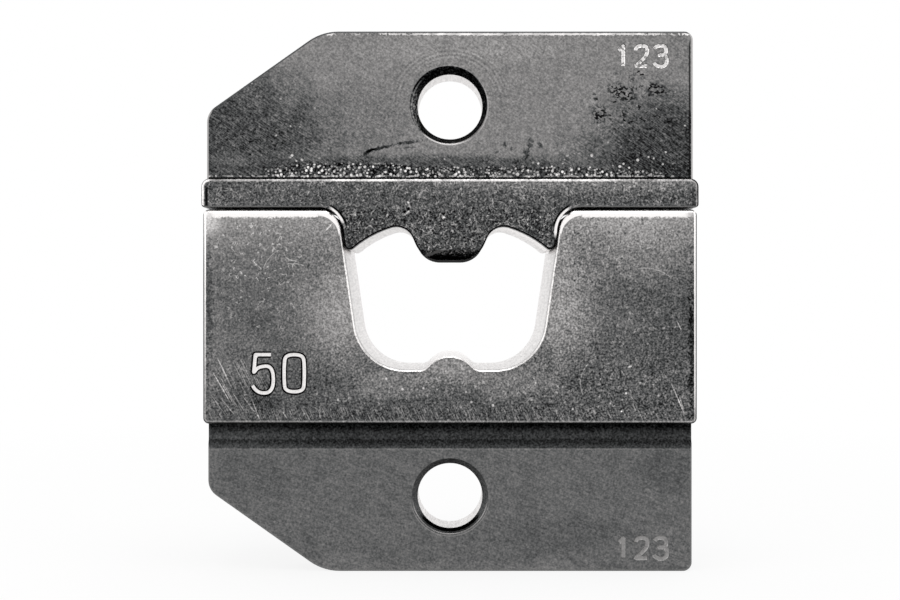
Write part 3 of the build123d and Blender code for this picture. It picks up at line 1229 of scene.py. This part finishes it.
@dataclass(frozen=True)
class Engraving:
    """A plain number cut into a front face with a round-nosed tool.

    Attributes:
        digits: The digits from left to right.
        left: Left edge of the first digit.
        bottom: Foot of the digits.
        face: The face's place from front to back.
        digit_width: Width of a digit.
        digit_height: Height of a digit.
        pitch: Distance from one digit to the next.
        stroke: Width of a stroke at the surface.
        depth: Depth of a stroke.
        roundness: Segments round a quarter of a stroke.
        smoothness: Segments along each bend.
    """

    digits: tuple[Digit, ...]
    left: float
    bottom: float
    face: float
    digit_width: float
    digit_height: float
    pitch: float
    stroke: float
    depth: float
    roundness: int = 10
    smoothness: int = 8

    def nose(self) -> float:
        """Return the radius of the tool's nose, which gives the stroke its width at its depth."""
        return (self.stroke**2 / 4 + self.depth**2) / (2 * self.depth)

    def strokes(self) -> bpy.types.Curve:
        """Draw the centre lines as round bars.

        Returns:
            A curve in its own plane, across and up.
        """
        curve = bpy.data.curves.new("strokes", "CURVE")
        curve.dimensions = "3D"
        curve.bevel_depth = self.nose()
        curve.bevel_resolution = self.roundness
        curve.resolution_u = self.smoothness
        curve.use_fill_caps = True
        for place, digit in enumerate(self.digits):
            spline = curve.splines.new("NURBS")
            spline.points.add(len(digit.value) - 1)
            for point, (across, up) in zip(spline.points, digit.value):
                x = place * self.pitch + across * self.digit_width
                point.co = (x, up * self.digit_height, 0, 1)
            spline.order_u = 3
            spline.use_endpoint_u = digit is not Digit.ZERO
            spline.use_cyclic_u = digit is Digit.ZERO
        return curve

    def cutter(self, finish: bpy.types.Material) -> bpy.types.Object:
        """Make the solid that cuts the number.

        Args:
            finish: The material that the cut leaves.

        Returns:
            A closed object in place, in millimetres.
        """
        drawn = new_object("strokes", self.strokes())
        mesh = bpy.data.meshes.new_from_object(drawn.evaluated_get(bpy.context.evaluated_depsgraph_get()))
        bpy.data.objects.remove(drawn)
        upright = Matrix.Rotation(math.radians(90), 4, "X")
        place = (self.left, self.face + self.depth - self.nose(), self.bottom)
        mesh.transform(Matrix.Translation(place) @ upright)
        solid = bmesh.new()
        solid.from_mesh(mesh)
        bmesh.ops.remove_doubles(solid, verts=solid.verts, dist=MERGE_DISTANCE)
        bmesh.ops.recalc_face_normals(solid, faces=solid.faces)
        solid.to_mesh(mesh)
        solid.free()
        mesh.materials.clear()
        mesh.materials.append(finish)
        return new_object("cutter", mesh)


@dataclass
class DieHalf:
    """One half of the insert: a merged copy of its CAD node, engraved and finished.

    Attributes:
        half: Which half it is.
        name: The finished piece's name.
        slot: Its finish in the record. Not used.
        engravings: The numbers on it, each with the finish of its grooves.
        sharpest_bend: Angle in degrees past which an edge is left sharp.
    """

    half: Half
    name: str
    slot: Slot
    engravings: tuple[tuple[Engraving, GrooveFinish], ...]
    sharpest_bend: float = 32.0

    def build(self, node: bpy.types.Object) -> bpy.types.Object:
        """Copy the node, merge its triangles and cut its numbers.

        Args:
            node: The CAD node.

        Returns:
            The piece, in metres.
        """
        mesh = bpy.data.meshes.new(self.name)
        self.reshape(node.data, mesh, METRE)
        piece = new_object(self.name, mesh)
        mesh.materials.append(None)
        for engraving, finish in self.engravings:
            cutter = engraving.cutter(finish.make())
            cut = piece.modifiers.new("cut", "BOOLEAN")
            cut.object = cutter
            cut.operation = "DIFFERENCE"
            cut.solver = "EXACT"
            cut.use_self = True
            cut.material_mode = "TRANSFER"
            seen = piece.evaluated_get(bpy.context.evaluated_depsgraph_get())
            engraved = bpy.data.meshes.new_from_object(seen)
            piece.modifiers.clear()
            piece.data = engraved
            bpy.data.objects.remove(cutter)
        self.reshape(piece.data, piece.data, 1 / METRE)
        piece.data.name = self.name
        return piece

    def reshape(self, source: bpy.types.Mesh, target: bpy.types.Mesh, scale: float) -> None:
        """Merge and scale a mesh, and mark its sharp edges.

        Args:
            source: The mesh to read.
            target: The mesh to write.
            scale: The change of scale.
        """
        body = bmesh.new()
        body.from_mesh(source)
        bmesh.ops.scale(body, vec=(scale, scale, scale), verts=body.verts)
        apart = MERGE_DISTANCE if scale > 1 else MERGE_DISTANCE / METRE
        bmesh.ops.remove_doubles(body, verts=body.verts, dist=apart)
        bmesh.ops.dissolve_degenerate(body, edges=body.edges, dist=apart)
        for edge in body.edges:
            edge.smooth = edge.calc_face_angle(0) < math.radians(self.sharpest_bend)
        for face in body.faces:
            face.smooth = True
        body.to_mesh(target)
        body.free()

    def dress(self, piece: bpy.types.Object, finish: bpy.types.Material) -> None:
        """Give the piece its finish and fix it to its body.

        Args:
            piece: The piece.
            finish: Its material.
        """
        piece.data.materials[0] = finish
        weighted = piece.modifiers.new("even_shading", "WEIGHTED_NORMAL")
        weighted.keep_sharp = True
        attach(piece, self.half.value)
        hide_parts(self.half.value)
        LOG.info("%s: %d faces", piece.name, len(piece.data.polygons))


@dataclass(frozen=True)
class SoftLamp:
    """A square lamp.

    Attributes:
        name: Its name.
        place: Its place from the middle of the dies, in metres.
        size: Its side, in metres.
        brightness: Its brightness, where 1 is white paper.
    """

    name: str
    place: tuple[float, float, float]
    size: float
    brightness: float

    def hang(self, target: Vector) -> None:
        """Hang the lamp and point it.

        Args:
            target: The middle of the dies.
        """
        lamp = bpy.data.lights.new(self.name, "AREA")
        lamp.shape = "SQUARE"
        lamp.size = self.size
        lamp.energy = self.brightness * math.pi * self.size**2
        hung = new_object(self.name, lamp)
        hung.location = target + Vector(self.place)
        hung.rotation_euler = (-Vector(self.place)).to_track_quat("-Z", "Y").to_euler()


@dataclass
class Studio:
    """White room with a pale floor, soft lamps and the camera."""

    floor_half_width: float = 2.0
    shadow_share: float = 0.15
    shadow_reach: tuple[float, float] = (0.05, 0.14)
    paper: float = 0.95
    room_light: float = 0.75
    lens: float = 50.0
    camera_distance: float = 0.09766
    camera_height: float = 0.0157
    clip_start: float = 0.001
    lamps: tuple[SoftLamp, ...] = (
        SoftLamp("top_lamp", (0.02, -0.06, 0.30), 0.2, 2.2),
        SoftLamp("left_lamp", (-0.28, -0.14, 0.10), 0.2, 1.2),
        SoftLamp("right_lamp", (0.30, -0.10, 0.06), 0.2, 0.8),
    )

    def seen_white(self, sheet: NodeSheet) -> Value:
        """Find the rays to which the room shows plain white.

        Args:
            sheet: The nodes to add to.

        Returns:
            A mask from 0 to 1.
        """
        rays = sheet.node("ShaderNodeLightPath", {}, {})
        seen = Value(sheet, rays.outputs["Is Camera Ray"])
        for kind in ("Is Glossy Ray", "Is Transmission Ray"):
            seen |= Value(sheet, rays.outputs[kind])
        return seen

    def light_room(self) -> None:
        """Fill the world with even light, white where it is seen."""
        world = bpy.data.worlds.new("room")
        bpy.context.scene.world = world
        sheet = NodeSheet(world)
        strength = self.seen_white(sheet) * (1 - self.room_light) + self.room_light
        inputs = {"Color": WHITE, "Strength": strength}
        light = sheet.value("ShaderNodeBackground", {}, inputs)
        sheet.node("ShaderNodeOutputWorld", {}, {"Surface": light})

    def lay_floor(self, height: float) -> None:
        """Lay the floor.

        Args:
            height: Its height, in metres.
        """
        mesh = bpy.data.meshes.new("floor")
        sheet_of_paper = bmesh.new()
        bmesh.ops.create_grid(sheet_of_paper, x_segments=1, y_segments=1, size=self.floor_half_width)
        bmesh.ops.translate(sheet_of_paper, vec=(0, 0, height), verts=sheet_of_paper.verts)
        sheet_of_paper.to_mesh(mesh)
        sheet_of_paper.free()
        floor = new_object("floor", mesh)
        paper = bpy.data.materials.new("floor_paper")
        sheet = NodeSheet(paper)
        where = sheet.value("ShaderNodeTexCoord", {}, {}, "Object")
        flat = sheet.vector("MULTIPLY", where, (1, 1, 0))
        near = sheet.vector("LENGTH", flat).rise(self.shadow_reach[1], self.shadow_reach[0])
        white = self.seen_white(sheet) * (1 - near * self.shadow_share)
        shaded = sheet.value("ShaderNodeBsdfDiffuse", {}, {"Color": (self.paper,) * 3 + (1,)})
        glowing = sheet.value("ShaderNodeEmission", {}, {"Color": WHITE, "Strength": 1.0})
        surface = sheet.value("ShaderNodeMixShader", {}, {0: white, 1: shaded, 2: glowing})
        sheet.node("ShaderNodeOutputMaterial", {}, {"Surface": surface})
        mesh.materials.append(paper)
        floor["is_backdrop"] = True

    def place_camera(self, front: float) -> None:
        """Place the camera square in front of the dies.

        Args:
            front: The dies' front face, in metres.
        """
        camera = bpy.data.cameras.new("camera")
        camera.lens = self.lens
        camera.clip_start = self.clip_start
        placed = new_object("camera", camera)
        placed.location = (0, front - self.camera_distance, self.camera_height)
        placed.rotation_euler = (math.radians(90), 0, 0)
        bpy.context.scene.camera = placed

    def build(self, low: Vector, high: Vector) -> None:
        """Set up the studio round the dies.

        Args:
            low: Lowest corner of the dies.
            high: Highest corner of the dies.
        """
        bpy.context.scene.view_settings.view_transform = "Standard"
        self.place_camera(low.y)
        self.light_room()
        self.lay_floor(low.z)
        for lamp in self.lamps:
            lamp.hang((low + high) / 2)


def main() -> None:
    """Build the insert round its frame."""
    logging.basicConfig(level=logging.INFO, format="%(message)s")
    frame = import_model()
    cad_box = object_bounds()
    Studio().build(*cad_box)

    size_mark = Engraving(
        digits=(Digit.FIVE, Digit.ZERO),
        left=-15.44,
        bottom=8.53,
        face=cad_box[0].y * METRE,
        digit_width=1.58,
        digit_height=2.9,
        pitch=2.47,
        stroke=0.52,
        depth=0.115,
    )
    lower_mark = Engraving(
        digits=(Digit.ONE, Digit.TWO, Digit.THREE),
        left=13.3,
        bottom=-4.93,
        face=-2.0,
        digit_width=1.0,
        digit_height=1.6,
        pitch=1.5,
        stroke=0.36,
        depth=0.08,
    )
    upper_mark = replace(lower_mark, bottom=34.42)
    size_groove = GrooveFinish("size_groove", tone=0.93, breaks=0.1, steepest=0.94)
    lower_groove = GrooveFinish("lower_mark_groove", tone=0.55, breaks=0.4, steepest=0.4)
    upper_groove = GrooveFinish("upper_mark_groove", tone=0.88, breaks=0.75, steepest=0.8)

    numbers = ((size_mark, size_groove), (lower_mark, lower_groove))
    nest = DieHalf(Half.NEST, "nest_die", Slot.NEST, numbers)
    nest.dress(nest.build(frame["nodes"][Half.NEST.value]), NestSteel().make())
    anvil = DieHalf(Half.ANVIL, "anvil_die", Slot.ANVIL, ((upper_mark, upper_groove),))
    anvil.dress(anvil.build(frame["nodes"][Half.ANVIL.value]), AnvilSteel().make())


if __name__ == "__main__":
    main()
